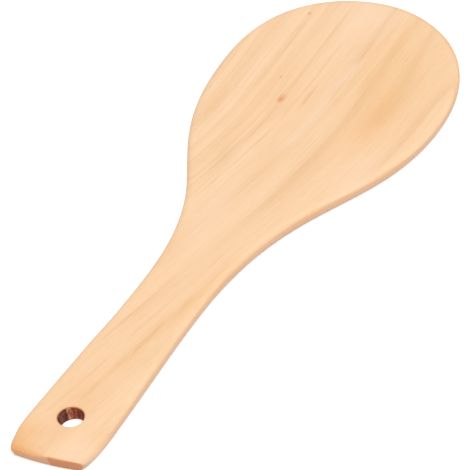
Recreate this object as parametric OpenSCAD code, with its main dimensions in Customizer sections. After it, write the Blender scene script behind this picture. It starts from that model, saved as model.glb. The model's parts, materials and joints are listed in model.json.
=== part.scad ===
// Rice paddle cut from one flat board: a broad egg-shaped blade that draws in to a waisted
// handle, thinned towards the tip, with its edges eased by hand and a hole to hang it by.
// The underside is flat and lies on z = 0. The handle's end is at -X and the blade's tip at +X.

/* [Blade] */
// Length from the sawn end of the handle to the tip of the blade
overall_length = 229; // [200:1:260]
// Width of the blade at its widest
blade_width = 81; // [60:1:100]
// Distance from the tip back to the widest place on the left, +Y, side
left_widest_from_tip = 42.5; // [35:0.5:60]
// Distance from the tip back to the widest place on the right, -Y, side
right_widest_from_tip = 46.5; // [35:0.5:60]
// Bluntness of the tip, from pointed to square
tip_bluntness = 0.35; // [0.25:0.01:0.7]
// Fullness of the blade's front quarters, from slack to full
front_fullness = 0.78; // [0.45:0.01:0.9]
// Fullness of the blade's left rear quarter, from slack to full
left_rear_fullness = 0.51; // [0.3:0.01:0.6]
// Fullness of the blade's right rear quarter, from slack to full
right_rear_fullness = 0.39; // [0.3:0.01:0.6]

/* [Handle] */
// Width of the handle at its waist
waist_width = 24; // [18:0.2:28]
// Distance from the handle's end to the waist
waist_from_end = 80.5; // [65:0.5:95]
// Softness of the sweep from the waist out to the blade
sweep_softness = 0.54; // [0.3:0.01:0.6]
// Width that the handle would have at its end with sharp corners
handle_width = 29.4; // [24:0.2:34]
// Angle at which each side of the handle still widens at the end
flare_angle = 2; // [0:0.5:4]

/* [Sawn end] */
// Radius of the slight crown of the sawn end
end_crown_radius = 90; // [45:1:200]
// Distance off the middle, towards +Y, of the furthest point of the sawn end
end_lean = 10; // [0:0.1:12]
// How far the sawn end slopes in from its upper easing down to the underside
end_undercut = 1.2; // [0:0.1:2]
// Distance along the side over which a corner is rounded
corner_along_side = 18; // [12:0.5:20]
// Distance along the sawn end over which a corner is rounded
corner_along_end = 4; // [3:0.1:8]
// Fullness of the corners, from cut off to square
corner_fullness = 0.56; // [0.55:0.01:0.75]

/* [Thickness] */
// Thickness of the handle up to the waist
handle_thickness = 5; // [4.6:0.1:8]
// Thickness at the very tip of the blade
tip_thickness = 4; // [2.2:0.1:4.5]
// How late the blade thins: 1 is a straight taper from the waist
thinning_delay = 1.6; // [1:0.1:3]

/* [Eased edges] */
// Width of the easing on the upper edge
top_ease_width = 2.4; // [0.8:0.1:3]
// Depth of the easing on the upper edge, at the handle's thickness
top_ease_depth = 1.6; // [0.5:0.1:2.1]
// Width of the easing on the lower edge
under_ease_width = 2.4; // [0.8:0.1:3]
// Depth of the easing on the lower edge, at the handle's thickness
under_ease_depth = 1.9; // [0.5:0.1:2.3]
// Share of the easing that the sawn end gets
end_ease_share = 0.2; // [0.1:0.05:0.3]

/* [Hanging hole] */
// Diameter of the hole
hole_diameter = 8.5; // [5:0.5:11]
// Distance from the sawn end to the middle of the hole
hole_from_end = 18.8; // [14:0.1:26]
// Distance of the hole off the handle's middle line, towards +Y
hole_off_middle = 0.4; // [-2:0.1:2]
// Width of the broken edge round each mouth of the hole
hole_lip = 0.1; // [0.1:0.1:0.6]

/* [Hidden] */

tip_x = overall_length/2;
end_x = -overall_length/2;
waist_x = end_x + waist_from_end;
hole_x = end_x + hole_from_end;

// Shares of the waist's own stretch that its two curves leave it by
waist_reach = 0.28;
flare_reach = 0.44;

// Steps along the five stretches of one side, and round one easing
front_steps = 30;
rear_steps = 32;
handle_steps = 18;
corner_steps = 14;
end_steps = 5;
ease_steps = 5;
hole_steps = 96;
overshoot = 1;

wood = [0.98, 0.83, 0.67];

// Points of a cubic curve, without the last, which the next stretch starts with
function curve(a, b, c, d, steps) = [
    for (i = [0:steps - 1])
        let (t = i/steps, s = 1 - t)
        s*s*s*a + 3*s*s*t*b + 3*s*t*t*c + t*t*t*d
];

// One side of the outline from the tip round to the middle of the sawn end. Each point is
// [distance along the paddle, distance off its middle, share of the full easing there,
// share of the sawn end's slope there].
function side(lean, widest_from_tip, rear_fullness) =
    let (
        widest_x = tip_x - widest_from_tip,
        half_blade = blade_width/2,
        half_waist = waist_width/2,
        half_end = handle_width/2,
        rear = widest_x - waist_x,
        low = end_ease_share,

        tip = [tip_x, 0, 1, 0],
        widest = [widest_x, half_blade, 1, 0],
        waist = [waist_x, half_waist, 1, 0],

        // the sharp corner that the rounding cuts off, and the side's direction there
        corner = [crown_x(half_end, lean), half_end, 1, 0],
        inward = [cos(flare_angle), -sin(flare_angle), 0, 0],
        corner_start = corner + corner_along_side*inward,
        handle = waist_x - corner_start.x,

        // where the rounding meets the crown, and the crown's direction there
        corner_y = half_end - corner_along_end,
        corner_end = [crown_x(corner_y, lean), corner_y, low, 1],
        outward = [(corner_y - lean)/end_crown_radius, 1, 0, 0]
    )
    concat(
        curve(tip, tip + [0, tip_bluntness*half_blade, 0, 0],
            widest + [front_fullness*widest_from_tip, 0, 0, 0], widest, front_steps),
        curve(widest, widest - [rear_fullness*rear, 0, 0, 0],
            waist + [sweep_softness*rear, 0, 0, 0], waist, rear_steps),
        curve(waist, waist - [waist_reach*handle, 0, 0, 0],
            corner_start + flare_reach*handle*inward, corner_start, handle_steps),
        curve(corner_start, corner_start - corner_fullness*corner_along_side*inward,
            corner_end + corner_fullness*corner_along_end*outward, corner_end, corner_steps),
        [for (i = [0:end_steps])
            let (y = corner_y*(1 - i/end_steps))
            [crown_x(y, lean), y, low, 1]]
    );

// The crown of the sawn end, furthest out at the lean
function crown_x(y, lean) = end_x + pow(y - lean, 2)/(2*end_crown_radius);

left = side(end_lean, left_widest_from_tip, left_rear_fullness);
right = side(-end_lean, right_widest_from_tip, right_rear_fullness);
last = len(left) - 1;

// The whole outline, from the tip along +Y to the end and back along -Y
outline = concat(left, [
    for (i = [last - 1:-1:1])
        let (p = right[i])
        [p.x, -p.y, p.z, p[3]]
]);
count = len(outline);

// Direction into the board at each point of the outline, square to it
function into(i) =
    let (
        run = outline[(i + 1) % count] - outline[(i + count - 1) % count],
        size = norm([run.x, run.y])
    )
    [-run.y, run.x]/size;

// Thickness of the board: even up to the waist, then thinning to the tip
function thickness(x) =
    let (u = max(0, (x - waist_x)/(tip_x - waist_x)))
    handle_thickness - (handle_thickness - tip_thickness)*pow(u, thinning_delay);

// The edge's section from the underside up to the face, as [share of the easing's width,
// share of its depth, 1 on the upper easing and 0 on the lower]
edge_section = concat(
    [for (k = [0:ease_steps]) let (a = 90*k/ease_steps) [1 - sin(a), 1 - cos(a), 0]],
    [for (k = [0:ease_steps]) let (a = 90*k/ease_steps) [1 - cos(a), 1 - sin(a), 1]]
);
rings = len(edge_section);

// One point of the board's skin: ring k of the edge's section at point i of the outline
function skin(k, i) =
    let (
        place = outline[i],
        section = edge_section[k],
        upper = section[2] == 1,
        inset = section[0]*place.z*(upper ? top_ease_width : under_ease_width),
        n = into(i),
        x = place.x + inset*n.x,
        y = place.y + inset*n.y,
        thick = thickness(x),
        ease = place.z*thick/handle_thickness,
        shoulder = thick - ease*top_ease_depth,
        z = upper ? thick - section[1]*ease*top_ease_depth : section[1]*ease*under_ease_depth,
        slope = end_undercut*place[3]*max(0, 1 - z/shoulder)
    )
    [x + slope, y, z];

// The uncut board: rings round the edge, closed above and below by strips from side to side
module board() {
    points = [for (k = [0:rings - 1], i = [0:count - 1]) skin(k, i)];
    edge = [
        for (k = [0:rings - 2], i = [0:count - 1])
            let (j = (i + 1) % count, a = k*count, b = a + count)
            each [[a + i, b + i, b + j], [a + i, b + j, a + j]]
    ];
    top = (rings - 1)*count;
    faces = [
        for (i = [0:last - 1])
            let (
                l0 = i,
                l1 = i + 1,
                r0 = (count - i) % count,
                r1 = count - i - 1,
                joined = [
                    if (i < last - 1) [l0, l1, r1],
                    if (i == last - 1) [l0, l1, r0],
                    if (i > 0 && i < last - 1) [l0, r1, r0]
                ]
            )
            each concat(
                joined,
                [for (f = joined) [top + f[2], top + f[1], top + f[0]]]
            )
    ];
    polyhedron(points, concat(edge, faces));
}

// The hanging hole with its two broken edges
module hole() {
    radius = hole_diameter/2;
    flare = radius + hole_lip + overshoot;
    translate([hole_x, hole_off_middle, 0]) {
        translate([0, 0, -overshoot])
            cylinder(h = handle_thickness + 2*overshoot, r = radius, $fn = hole_steps);
        translate([0, 0, handle_thickness - hole_lip])
            cylinder(h = hole_lip + overshoot, r1 = radius, r2 = flare, $fn = hole_steps);
        translate([0, 0, -overshoot])
            cylinder(h = hole_lip + overshoot, r1 = flare, r2 = radius, $fn = hole_steps);
    }
}

module paddle() {
    color(wood)
        difference() {
            board();
            hole();
        }
}

paddle();
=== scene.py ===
import json
import math

import bmesh
import bpy
from mathutils import Matrix, Vector, geometry, noise


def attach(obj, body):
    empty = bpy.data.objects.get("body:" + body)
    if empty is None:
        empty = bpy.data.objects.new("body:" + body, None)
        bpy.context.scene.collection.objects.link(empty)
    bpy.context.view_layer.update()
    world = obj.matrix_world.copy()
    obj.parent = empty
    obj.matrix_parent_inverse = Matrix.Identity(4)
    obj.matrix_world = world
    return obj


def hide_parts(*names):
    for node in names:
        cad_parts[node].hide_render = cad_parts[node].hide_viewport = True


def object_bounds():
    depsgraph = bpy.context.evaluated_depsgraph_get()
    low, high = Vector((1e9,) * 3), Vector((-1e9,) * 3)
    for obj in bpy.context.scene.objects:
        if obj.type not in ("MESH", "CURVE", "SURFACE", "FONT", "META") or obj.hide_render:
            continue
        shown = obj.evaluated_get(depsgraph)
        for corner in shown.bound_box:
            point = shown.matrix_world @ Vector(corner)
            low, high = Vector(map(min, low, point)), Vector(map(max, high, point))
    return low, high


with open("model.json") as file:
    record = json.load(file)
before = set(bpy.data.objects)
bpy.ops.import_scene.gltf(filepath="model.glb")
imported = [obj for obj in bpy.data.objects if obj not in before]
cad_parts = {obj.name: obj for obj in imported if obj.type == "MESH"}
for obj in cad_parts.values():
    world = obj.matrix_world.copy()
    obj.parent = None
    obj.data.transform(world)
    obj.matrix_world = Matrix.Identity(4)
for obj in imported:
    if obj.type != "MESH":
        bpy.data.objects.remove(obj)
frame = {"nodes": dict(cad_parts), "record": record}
cad_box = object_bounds()

# The board. The whole paddle is one sawn board of pale, close-grained wood, cut to its outline
# with a bandsaw, drilled for hanging, and eased and sanded by hand, which leaves its faces and
# edges slightly uneven. It takes its shape from the CAD board and is never thicker or wider.
MM = 0.001
hole = next(m for m in frame["record"]["mounts"] if m["name"] == "hang_hole")
hole_middle = Vector(hole["pos_m"])
hole_radius = hole["dims"]["r_mm"] * MM
end_x = cad_box[0].x
face_z = cad_box[1].z

bm = bmesh.new()
bm.from_mesh(frame["nodes"]["paddle"].data)
bmesh.ops.remove_doubles(bm, verts=bm.verts, dist=0.002 * MM)

# the two mouths of the hole have broken edges, worn round by use
mouth_edges = [
    e for e in bm.edges
    if e.calc_face_angle(0) > math.radians(35)
    and max((v.co.xy - hole_middle.xy).length for v in e.verts) < hole_radius + 0.5 * MM
]
bmesh.ops.bevel(bm, geom=mouth_edges, offset=0.07 * MM, segments=2, profile=0.5,
                affect="EDGES", clamp_overlap=True, material=-1)

# a narrow margin round each flat face, and then cells small enough to carry its hollows
bm.normal_update()
flats = [f for f in bm.faces if abs(f.normal.z) > 0.999]
bmesh.ops.inset_region(bm, faces=flats, thickness=0.5 * MM, use_boundary=True,
                       use_even_offset=True)
flat_parts = set(flats)
for f in flats:
    flat_parts.update(f.edges)
    flat_parts.update(f.verts)
flat_parts = list(flat_parts)
cell = 3 * MM
cuts = [(Vector((step * cell, 0, 0)), Vector((1, 0, 0))) for step in range(-38, 39)]
cuts += [(Vector((0, step * cell, 0)), Vector((0, 1, 0))) for step in range(-13, 14)]
along_end = Vector((1, -0.11, 0)).normalized()
cuts += [(Vector((end_x + inset * MM, 10 * MM, 0)), along_end) for inset in (1.3, 1.8, 2.4)]
for place, direction in cuts:
    cut = bmesh.ops.bisect_plane(bm, geom=flat_parts, dist=0.02 * MM,
                                 plane_co=place, plane_no=direction)
    flat_parts = cut["geom"]

# the handle's upper edge is worn round at the far corner of the sawn end, and sanded down
# further than elsewhere on the near side before the other corner
near_end = [v for v in bm.verts if v.co.x < -88 * MM]
shoulder = {v for v in near_end if v.co.z > 3.3 * MM
            and any(e.other_vert(v).co.z < 2 * MM for e in v.link_edges)}
outline_edges = [e for e in bm.edges if e.verts[0] in shoulder and e.verts[1] in shoulder]
outline_ends = [[v.co.copy() for v in e.verts] for e in outline_edges]


def smooth_step(value, start, end):
    t = min(max((value - start) / (end - start), 0), 1)
    return t * t * (3 - 2 * t)


def from_outline(place):
    """How far a place lies in from the outline, seen from above."""
    flat_place = Vector((place.x, place.y, 0))
    nearest = 1.0
    for a, b in outline_ends:
        a, b = Vector((a.x, a.y, 0)), Vector((b.x, b.y, 0))
        on_line, share = geometry.intersect_point_line(flat_place, a, b)
        nearest = min(nearest, (flat_place - (a + (b - a) * min(max(share, 0), 1))).length)
    return nearest


for v in near_end:
    x, y = v.co.x / MM, v.co.y / MM
    far_corner = smooth_step(y, -5, 6) * smooth_step(x, -100, -109)
    near_side = smooth_step(y, -8, -11) * smooth_step(x, -91, -100) * smooth_step(x, -111.5, -108)
    near_corner = smooth_step(y, -10.5, -12.8) * smooth_step(x, -109, -111.5)
    end_edge = smooth_step(x, -108, -110) * smooth_step(y, -12, -6)
    inset = from_outline(v.co)
    for worn, width, depth in ((far_corner, 3.6 * MM, 1.9 * MM), (near_side, 2.8 * MM, 3.0 * MM),
                               (near_corner, 2.4 * MM, 2.4 * MM), (end_edge, 1.2 * MM, 0.7 * MM)):
        if worn > 0 and v.co.z > 1.8 * MM:
            inwards = min(inset / (width * worn), 1)
            drop = depth * worn * (1 - math.sqrt(1 - (1 - inwards) ** 2))
            v.co.z = min(v.co.z, face_z - drop)

# the near corner is rounded below but was left sharp above
sharp_corner = Vector((-112.3, -14.4)) * MM
for v in near_end:
    to_corner = sharp_corner - v.co.xy
    pull = 0.62 * math.exp(-(to_corner.length / (4 * MM)) ** 2)
    pull *= smooth_step(v.co.z, 1.2 * MM, 3.6 * MM)
    v.co.xy += to_corner * pull

# the drill left fibres standing in at the lower mouth, on the far side
for v in bm.verts:
    out = v.co.xy - hole_middle.xy
    if v.co.z < 0.5 * MM and out.length < hole_radius + 0.3 * MM:
        turned = math.degrees(math.atan2(out.y, out.x))
        torn = smooth_step(turned, -10, 50) * smooth_step(turned, 190, 120)
        v.co.xy -= out.normalized() * 0.5 * MM * torn

# the saw wandered a little towards the near side as it cut the two sides of the neck
for v in bm.verts:
    x, y = v.co.x / MM, v.co.y / MM
    near_cut = 0.28 * smooth_step(x, -40, -12) * smooth_step(x, 56, 26)
    far_cut = 0.25 * smooth_step(x, -65, -50) * smooth_step(x, 20, 6)
    far = smooth_step(y, -10, 10)
    v.co.y -= (near_cut * (1 - far) + far_cut * far) * MM

# sanding by hand: shallow hollows on the faces, deeper ones along the edges
bm.normal_update()
for v in bm.verts:
    if (v.co.xy - hole_middle.xy).length < hole_radius + 1.2 * MM:
        continue
    along_edge = v.normal.xy.length
    hollow = 0.5 + 0.5 * noise.noise(v.co / (26 * MM) + Vector((3.1, 0.4, 7.7)))
    v.co -= v.normal * (0.04 + 0.14 * along_edge) * MM * hollow

for f in bm.faces:
    f.smooth = True
    from_axis = (f.calc_center_median().xy - hole_middle.xy).length
    if abs(f.normal.z) < 0.2 and from_axis < hole_radius + 0.05 * MM:
        f.material_index = 1

board_mesh = bpy.data.meshes.new("paddle_wood")
bm.to_mesh(board_mesh)
bm.free()
board = bpy.data.objects.new("paddle_wood", board_mesh)
bpy.context.scene.collection.objects.link(board)
even_faces = board.modifiers.new("even_faces", "WEIGHTED_NORMAL")
even_faces.keep_sharp = True
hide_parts("paddle")
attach(board, "root")

# The wood's figure: growth rings that the board was sawn across, with fine fibres and pores
# along the grain. The grain slopes across the handle and straightens out in the blade, and
# the bare board and the scorched hole both show it. Places are in millimetres.
GRAIN_SLOPE = 0.2
STRAIGHTENS_AT, STRAIGHTENS_OVER = 45.5, 25.0


def linear(red, green, blue):
    """A colour written as a screen shows it, 0 to 255, as the shader's own values."""
    channels = [c / 255 for c in (red, green, blue)]
    return [c / 12.92 if c <= 0.04045 else ((c + 0.055) / 1.055) ** 2.4 for c in channels] + [1]


def add(tree, kind, inputs, **settings):
    """Puts a node in the tree. inputs gives its sockets a value or another node's output."""
    made = tree.nodes.new(kind)
    for name, value in settings.items():
        setattr(made, name, value)
    for name, value in inputs.items():
        if isinstance(value, bpy.types.NodeSocket):
            tree.links.new(value, made.inputs[name])
        else:
            made.inputs[name].default_value = value
    return made


def calc(tree, operation, *values):
    return add(tree, "ShaderNodeMath", dict(enumerate(values)), operation=operation).outputs[0]


def shift(tree, operation, *values):
    inputs = dict(enumerate(values))
    return add(tree, "ShaderNodeVectorMath", inputs, operation=operation).outputs[0]


def rise(tree, value, start, end, low=0.0, top=1.0):
    """low up to start, then smoothly to top at end."""
    inputs = {"Value": value, "From Min": start, "From Max": end, "To Min": low, "To Max": top}
    made = add(tree, "ShaderNodeMapRange", inputs, interpolation_type="SMOOTHSTEP")
    return made.outputs[0]


def stain(tree, below, colour, amount, blend="MULTIPLY"):
    inputs = {0: amount, 6: below, 7: colour}
    made = add(tree, "ShaderNodeMix", inputs, data_type="RGBA", blend_type=blend)
    return made.outputs[2]


def clouds(tree, place, stretch, detail=2.0, roughness=0.5):
    """Noise whose features are 1/stretch millimetres long each way."""
    inputs = {"Vector": shift(tree, "MULTIPLY", place, stretch), "Scale": 1.0,
              "Detail": detail, "Roughness": roughness}
    return add(tree, "ShaderNodeTexNoise", inputs).outputs[0]


def bands(tree, distance, per_mm, detail):
    inputs = {"W": calc(tree, "MULTIPLY", distance, per_mm), "Scale": 1.0, "Detail": detail}
    return add(tree, "ShaderNodeTexNoise", inputs, noise_dimensions="1D").outputs[0]


figure = bpy.data.node_groups.new("wood_figure", "ShaderNodeTree")
figure.interface.new_socket("Place", in_out="INPUT", socket_type="NodeSocketVector")
figure.interface.new_socket("Colour", in_out="OUTPUT", socket_type="NodeSocketColor")
for name in ("Across grain", "Fibres", "Pores"):
    figure.interface.new_socket(name, in_out="OUTPUT", socket_type="NodeSocketFloat")

given_place = figure.nodes.new("NodeGroupInput").outputs[0]
x, y, z = add(figure, "ShaderNodeSeparateXYZ", {0: given_place}).outputs
bend = calc(figure, "SMOOTH_MIN", calc(figure, "SUBTRACT", x, STRAIGHTENS_AT), 0.0,
            STRAIGHTENS_OVER)
across = calc(figure, "MULTIPLY_ADD", bend, GRAIN_SLOPE, y)
grain_place = add(figure, "ShaderNodeCombineXYZ", {0: x, 1: across, 2: z}).outputs[0]

# rings round the heart of the trunk, which lay this far below and to one side of the board
HEART_ACROSS, HEART_DEPTH = -18.0, 55.0
drift = calc(figure, "MULTIPLY", clouds(figure, grain_place, (0.011, 0.03, 0.03)), 7.0)
ripple = calc(figure, "MULTIPLY", clouds(figure, grain_place, (0.035, 0.16, 0.16)), 1.6)
wander = calc(figure, "ADD", drift, ripple)
sideways = calc(figure, "ADD", calc(figure, "SUBTRACT", across, HEART_ACROSS), wander)
height = calc(figure, "ADD", z, HEART_DEPTH)
ring_radius = calc(figure, "SQRT", calc(figure, "MULTIPLY_ADD", sideways, sideways,
                                        calc(figure, "MULTIPLY", height, height)))
broad = rise(figure, bands(figure, ring_radius, 0.34, 1.0), 0.32, 0.68)
narrow = rise(figure, bands(figure, ring_radius, 1.15, 2.0), 0.5, 0.74)
fade = rise(figure, clouds(figure, grain_place, (0.018, 0.07, 0.07)), 0.36, 0.64)
late_wood = calc(figure, "MULTIPLY", narrow, fade)
fibre = clouds(figure, grain_place, (0.05, 2.2, 2.2), detail=4.0, roughness=0.6)
pore = rise(figure, clouds(figure, grain_place, (0.3, 5.5, 5.5), detail=1.0), 0.6, 0.74)

colour = stain(figure, linear(254, 216, 176), linear(250, 209, 166), broad, "MIX")
colour = stain(figure, colour, linear(246, 240, 231), calc(figure, "MULTIPLY", late_wood, 0.6))
colour = stain(figure, colour, linear(251, 248, 243), rise(figure, fibre, 0.42, 0.68))
colour = stain(figure, colour, linear(246, 233, 216), calc(figure, "MULTIPLY", pore, 0.5))
wanted = figure.nodes.new("NodeGroupOutput")
for name, value in (("Colour", colour), ("Across grain", across), ("Fibres", fibre), ("Pores", pore)):
    figure.links.new(value, wanted.inputs[name])


def new_material(name):
    """An empty node material, with its place in millimetres and the wood's figure there."""
    material = bpy.data.materials.new(name)
    material.use_nodes = True
    tree = material.node_tree
    tree.nodes.clear()
    coordinates = add(tree, "ShaderNodeTexCoord", {}).outputs
    in_mm = add(tree, "ShaderNodeVectorMath", {0: coordinates["Object"], "Scale": 1000.0},
                operation="SCALE").outputs[0]
    grain = add(tree, "ShaderNodeGroup", {}, node_tree=figure)
    tree.links.new(in_mm, grain.inputs["Place"])
    return material, tree, in_mm, coordinates["Normal"], grain.outputs


def show(tree, shader):
    tree.links.new(shader, add(tree, "ShaderNodeOutputMaterial", {}).inputs["Surface"])


# The sanded wood. It is bare, with no oil or varnish. This board has a warm lobe in the blade,
# a slanting streak in the handle, a pin knot and two specks. Wood cut across the grain, at the
# sawn end and the blade's tip, soaks up more light than the faces and is darker and redder.
wood, tree, in_mm, normal, grain = new_material("bare_sanded_wood")
x, y, z = add(tree, "ShaderNodeSeparateXYZ", {0: in_mm}).outputs


def patch(place, middle, reach, soft=0.0):
    """1 in the middle of an oval patch, falling to 0 at its reach each way, in millimetres."""
    out = shift(tree, "MULTIPLY", shift(tree, "SUBTRACT", place, (*middle, 0)),
                (1 / reach[0], 1 / reach[1], 0))
    length = add(tree, "ShaderNodeVectorMath", {0: out}, operation="LENGTH").outputs[1]
    return rise(tree, calc(tree, "SUBTRACT", 1.0, length), 0.0, 1.0 - soft)


def streak(start, end, half_width, fade_in=8.0):
    """1 along a line that keeps to the grain, from start to end, each (x, place across it)."""
    tilt = (end[1] - start[1]) / (end[0] - start[0])
    line = calc(tree, "MULTIPLY_ADD", x, tilt, start[1] - tilt * start[0])
    off = calc(tree, "ABSOLUTE", calc(tree, "SUBTRACT", grain["Across grain"], line))
    near = calc(tree, "MULTIPLY", rise(tree, off, half_width, 0.0), broken)
    from_start = rise(tree, x, start[0], start[0] + fade_in)
    to_end = rise(tree, x, end[0], end[0] - fade_in)
    return calc(tree, "MULTIPLY", near, calc(tree, "MULTIPLY", from_start, to_end))


# uneven edges for the patches of colour, and streaks that come and go
broken = rise(tree, clouds(tree, in_mm, (0.08, 0.5, 0.5), detail=3.0), 0.34, 0.6, low=0.5)
sway = calc(tree, "MULTIPLY_ADD", clouds(tree, in_mm, (0.05, 0.12, 0.1), detail=3.0), 6.0, -3.0)
swayed = shift(tree, "ADD", in_mm, add(tree, "ShaderNodeCombineXYZ", {1: sway}).outputs[0])

PATCHES = (
    # middle, reach, colour, share
    ((74, -19), (52, 18), (252, 245, 231), 1.0),
    ((63, -20), (20, 8), (253, 244, 235), 0.9),
    ((92, -9), (30, 7), (254, 251, 242), 0.8),
    ((60, 18), (32, 9), (255, 253, 247), 0.8),
    ((30, -10), (26, 8), (250, 247, 243), 0.8),
    ((26, 16), (13, 5), (248, 245, 238), 0.8),
    ((46, 31), (16, 4), (251, 248, 239), 0.8),
    ((60, 8), (34, 9), (253, 249, 243), 0.8),
    ((-92, 2), (30, 9), (253, 246, 238), 1.0),
    ((-112, 10), (16, 9), (249, 232, 204), 1.0),
    ((-114, 5), (5, 10), (250, 238, 224), 0.8),
)
colour = grain["Colour"]
for middle, reach, tint, share in PATCHES:
    amount = calc(tree, "MULTIPLY", patch(swayed, middle, reach), share)
    colour = stain(tree, colour, linear(*tint), amount)
PALE_ZONES = (
    ((33, -30), (26, 11), 0.5), ((-109, -9), (12, 8), 0.6), ((2, 6), (26, 9), 0.4), ((108, 6), (20, 18), 0.5),
)
for middle, reach, share in PALE_ZONES:
    amount = calc(tree, "MULTIPLY", patch(swayed, middle, reach), share)
    colour = stain(tree, colour, linear(254, 220, 187), amount, "MIX")

STREAKS = (
    # from and to as (x, place across the grain), half width, colour, share
    ((-90, -25.2), (-30, -23.7), 1.8, (243, 233, 214), 0.5),
    ((-76, -25.2), (-8, -24.2), 4.4, (250, 244, 230), 0.9),
    ((-68, -12.5), (-24, -12.4), 0.8, (243, 231, 218), 0.5),
    ((-99, -20.0), (-62, -19.7), 0.8, (243, 231, 218), 0.5),
    ((-61, -19.1), (-3, -18.5), 0.8, (244, 233, 220), 0.5),
    ((3, 7.1), (48, 7.4), 0.9, (238, 229, 212), 0.55),
    ((46, 7.6), (64, 8.0), 1.2, (245, 233, 218), 0.5),
    ((56, 7.3), (92, 7.7), 0.9, (243, 233, 214), 0.5),
    ((30, 11.0), (58, 12.0), 1.0, (242, 232, 212), 0.5),
    ((57, 12.1), (110, 13.4), 0.9, (247, 238, 222), 0.6),
    ((53, 4.7), (72, 5.0), 0.9, (238, 222, 206), 0.6),
    ((58, 23.2), (100, 23.6), 1.0, (246, 233, 216), 0.6),
    ((56, -4.6), (112, -4.8), 1.1, (250, 240, 222), 0.6),
    ((66, -9.2), (112, -8.6), 1.4, (250, 243, 226), 0.6),
)
for start, end, half_width, tint, share in STREAKS:
    amount = calc(tree, "MULTIPLY", streak(start, end, half_width), share)
    colour = stain(tree, colour, linear(*tint), amount)
pale_band = calc(tree, "MULTIPLY", streak((34, -1.6), (88, -1.5), 2.6), 0.6)
colour = stain(tree, colour, linear(255, 222, 190), pale_band, "MIX")

# the pin knot and the two specks, each a dark heart in a warmer halo
for middle, reach, tint, share in (
    ((58.8, 12.6), (3.6, 2.0), (248, 226, 212), 0.8),
    ((58.2, 12.6), (1.8, 1.1), (244, 222, 210), 0.9),
    ((67.9, 18.0), (0.9, 0.6), (230, 224, 206), 0.9),
    ((99.3, 24.8), (1.6, 1.1), (249, 240, 238), 0.7),
    ((99.1, 24.9), (0.9, 0.6), (232, 222, 216), 0.8),
):
    amount = calc(tree, "MULTIPLY", patch(in_mm, middle, reach, soft=0.3), share)
    colour = stain(tree, colour, linear(*tint), amount)

# where the surface turns to the side, and where it is cut across the grain; the sides also carry painted
# shade, and the sawn end's near corner a painted highlight
turn = add(tree, "ShaderNodeSeparateXYZ", {0: normal}).outputs
sideways = calc(tree, "SUBTRACT", 1.0, calc(tree, "ABSOLUTE", turn[2]))
on_end = rise(tree, turn[0], -0.5, -0.8)
turned_down = rise(tree, turn[2], 0.35, -0.1)
painted_side_shade = calc(tree, "MULTIPLY", turned_down, rise(tree, turn[0], -0.8, -0.5))
plainer = calc(tree, "MULTIPLY", turned_down, 0.7)
colour = stain(tree, colour, linear(253, 215, 177), plainer, "MIX")
# painted shade: the surface is multiplied darker and warmer as it turns to the side
colour = stain(tree, colour, linear(253, 245, 239), rise(tree, sideways, 0.2, 0.7))
# painted shade: a cool grey darkening on the sides and the underside, though not on the sawn end
colour = stain(tree, colour, linear(248, 246, 252), painted_side_shade)
# painted shadow: surfaces are darker as they face down towards the floor
colour = stain(tree, colour, linear(246, 246, 248), rise(tree, turn[2], -0.02, -0.4))
# painted highlight: the near corner of the sawn end is mixed back to the lit face's colour, over the painted
# side shade
painted_corner_highlight = calc(tree, "MULTIPLY", patch(in_mm, (-108.5, -15.5), (10, 5), soft=0.3), 0.6)
colour = stain(tree, colour, linear(255, 217, 180), painted_corner_highlight, "MIX")
along = calc(tree, "ABSOLUTE", turn[0])
on_easing = calc(tree, "MULTIPLY", rise(tree, along, 0.12, 0.4), rise(tree, turn[2], -0.1, 0.35))
colour = stain(tree, colour, linear(254, 247, 238), on_easing)
colour = stain(tree, colour, linear(255, 245, 241), on_end)
at_sawn_end = rise(tree, x, -100, -108, low=0.25)
cut_across = calc(tree, "MULTIPLY", rise(tree, along, 0.14, 0.62), at_sawn_end)
rough_part = rise(tree, calc(tree, "MULTIPLY_ADD", sway, 0.1, y), -1.2, -2.2, low=0.15)
rough_part = calc(tree, "MULTIPLY", rough_part, rise(tree, y, -13.8, -12.6, low=0.5))
end_tone = calc(tree, "MULTIPLY", cut_across, rough_part)
colour = stain(tree, colour, linear(237, 197, 166), end_tone)

# a faint singe round the mouths of the hole
hole_place = tuple(hole_middle / MM)
aside = shift(tree, "MULTIPLY", shift(tree, "SUBTRACT", in_mm, hole_place), (1, 1, 0))
from_axis = add(tree, "ShaderNodeVectorMath", {0: aside}, operation="LENGTH").outputs[1]
rim = hole_radius / MM
beyond = add(tree, "ShaderNodeVectorMath", {0: aside, 1: (0.6, 0.8, 0)}, operation="DOT_PRODUCT")
far_side = rise(tree, beyond.outputs[1], -3, 2, low=0.2)
singe = calc(tree, "MULTIPLY", rise(tree, from_axis, rim + 0.6, rim + 0.1), far_side)
colour = stain(tree, colour, linear(216, 176, 152), singe)

finish = rise(tree, grain["Fibres"], 0.3, 0.7, low=0.46, top=0.6)
wood_bsdf = add(tree, "ShaderNodeBsdfPrincipled", {"Base Color": colour, "Roughness": finish})
wood_bsdf.inputs["Specular IOR Level"].default_value = 0.5
relief = calc(tree, "SUBTRACT", grain["Fibres"], calc(tree, "MULTIPLY", grain["Pores"], 0.7))
bump = add(tree, "ShaderNodeBump", {"Height": relief, "Strength": 0.6, "Distance": 0.03 * MM})
tree.links.new(bump.outputs[0], wood_bsdf.inputs["Normal"])
show(tree, wood_bsdf.outputs[0])
board_mesh.materials.append(wood)
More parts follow.
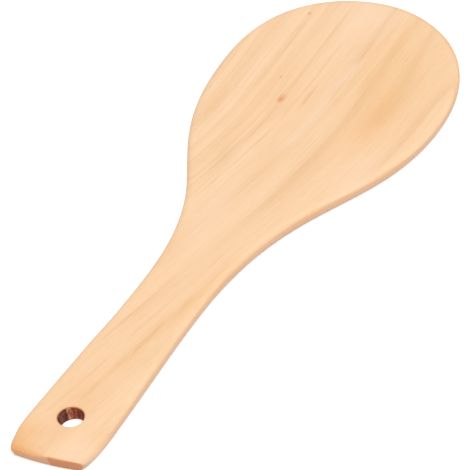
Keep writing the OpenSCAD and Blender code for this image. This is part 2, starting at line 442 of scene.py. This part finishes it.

# The wall of the hanging hole, scorched by the drill. Round the bore it is a dark brown
# side, then a paler strip and a reddish side, over the wood's own grain.
scorched, tree, in_mm, normal, grain = new_material("scorched_bore")
aside = shift(tree, "SUBTRACT", in_mm, hole_place)
x, y, z = add(tree, "ShaderNodeSeparateXYZ", {0: aside}).outputs
char = clouds(tree, in_mm, (0.6, 0.6, 0.3), detail=4.0)
round_bore = calc(tree, "ARCTAN2", y, x)
uneven = calc(tree, "MULTIPLY_ADD", char, 0.5, -0.25)
turned = calc(tree, "ADD", round_bore, uneven)
dark_side = rise(tree, turned, math.radians(50), math.radians(60))
light_strip = calc(tree, "MULTIPLY", rise(tree, turned, math.radians(60), math.radians(50)),
                   rise(tree, turned, math.radians(22), math.radians(40)))
colour = stain(tree, linear(196, 108, 74), linear(250, 188, 154), light_strip, "MIX")
colour = stain(tree, colour, linear(154, 98, 74), dark_side, "MIX")
colour = stain(tree, colour, linear(196, 164, 150), rise(tree, char, 0.45, 0.62))
drilled = clouds(tree, in_mm, (2.2, 2.2, 0.5), detail=2.0)
colour = stain(tree, colour, linear(186, 160, 146), rise(tree, drilled, 0.44, 0.6))
colour = stain(tree, colour, grain["Colour"], 0.3)
bore_bsdf = add(tree, "ShaderNodeBsdfPrincipled", {"Base Color": colour, "Roughness": 0.75})
ridges = add(tree, "ShaderNodeBump", {"Height": char, "Strength": 0.7, "Distance": 0.2 * MM})
tree.links.new(ridges.outputs[0], bore_bsdf.inputs["Normal"])
show(tree, bore_bsdf.outputs[0])
board_mesh.materials.append(scorched)

# The ground: a plain white studio table. To the camera and in reflections it is lighter than it
# is lit, so that the ground is white and the paddle's soft shadow stays.
bm = bmesh.new()
bmesh.ops.create_grid(bm, x_segments=1, y_segments=1, size=4.0,
                      matrix=Matrix.Translation((0, 0, -0.1 * MM)))
ground_mesh = bpy.data.meshes.new("ground")
bm.to_mesh(ground_mesh)
bm.free()
ground = bpy.data.objects.new("ground", ground_mesh)
bpy.context.scene.collection.objects.link(ground)
white = bpy.data.materials.new("white_table")
white.use_nodes = True
tree = white.node_tree
tree.nodes.clear()
table_bsdf = add(tree, "ShaderNodeBsdfDiffuse", {"Color": (0.65, 0.65, 0.65, 1)})
rays = add(tree, "ShaderNodeLightPath", {}).outputs
seen = calc(tree, "MAXIMUM", rays["Is Camera Ray"], calc(tree, "MAXIMUM", rays["Is Glossy Ray"],
                                                         rays["Is Transmission Ray"]))
glow = add(tree, "ShaderNodeEmission", {"Color": (1, 1, 1, 1), "Strength": calc(tree, "MULTIPLY", seen, 0.6)})
both = add(tree, "ShaderNodeAddShader", {0: table_bsdf.outputs[0], 1: glow.outputs[0]})
show(tree, both.outputs[0])
ground_mesh.materials.append(white)

# The light: an even white room, and one large soft box high up on the near side, so that the
# faces are bright, the near edge catches a thin light line and its side is a tone darker.
world = bpy.data.worlds.new("white_room")
bpy.context.scene.world = world
world.use_nodes = True
tree = world.node_tree
tree.nodes.clear()
room = add(tree, "ShaderNodeBackground", {"Color": (1, 1, 1, 1), "Strength": 0.6})
tree.links.new(room.outputs[0], add(tree, "ShaderNodeOutputWorld", {}).inputs["Surface"])

box_lamp = bpy.data.lights.new("soft_box", "AREA")
box_lamp.shape = "SQUARE"
box_lamp.size = 1.4
box_lamp.energy = 25
box = bpy.data.objects.new("soft_box", box_lamp)
box.location = (-0.38, -0.78, 2.0)
box.rotation_euler = (-box.location).to_track_quat("-Z", "Y").to_euler()
bpy.context.scene.collection.objects.link(box)

# The camera: far off with a long lens, as the photograph was taken, looking down on the handle's
# end from the paddle's near side, and rolled a little.
azimuth, elevation, roll = (math.radians(a) for a in (-54.780, 43.331, -7.816))
back = Vector((math.sin(azimuth) * math.cos(elevation), -math.cos(azimuth) * math.cos(elevation),
               math.sin(elevation)))
aim = Vector((0.394, -2.779, 0)) * MM
right = (-back).cross(Vector((0, 0, 1))).normalized()
up = right.cross(-back)
turned = Matrix.Rotation(roll, 3, back)
picture_width, lens_in_pixels = 470, 6000
camera_data = bpy.data.cameras.new("camera")
camera_data.sensor_width = 36
camera_data.lens = camera_data.sensor_width * lens_in_pixels / picture_width
camera = bpy.data.objects.new("camera", camera_data)
axes = Matrix((turned @ right, turned @ up, turned @ back)).transposed()
camera.matrix_world = Matrix.Translation(aim + back * 1918.089 * MM) @ axes.to_4x4()
bpy.context.scene.collection.objects.link(camera)
bpy.context.scene.camera = camera
bpy.context.scene.view_settings.view_transform = "Standard"
